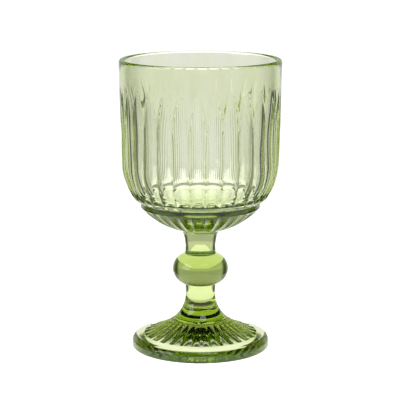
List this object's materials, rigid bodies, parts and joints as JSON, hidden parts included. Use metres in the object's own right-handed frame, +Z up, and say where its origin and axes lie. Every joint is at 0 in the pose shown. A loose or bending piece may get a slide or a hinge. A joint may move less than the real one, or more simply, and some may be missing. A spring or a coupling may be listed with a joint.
{
  "type": "wine glass",
  "caption": "Stemmed green pressed-glass goblet with a fluted bowl, ribbed underside, round knop and ribbed round foot.",
  "frame": {"origin": "centre of the foot's underside, on the plane that the glass stands on", "axes": "+Z up along the axis of the glass, from the foot to the rim"},
  "size_m": [0.086, 0.086, 0.1558],
  "materials": {
    "green_glass": "fire-polished pressed glass"
  },
  "bodies": {
    "root": {"bowl": "green_glass", "upper_stem": "green_glass", "knop": "green_glass", "lower_stem": "green_glass", "foot": "green_glass"}
  },
  "joints": []
}
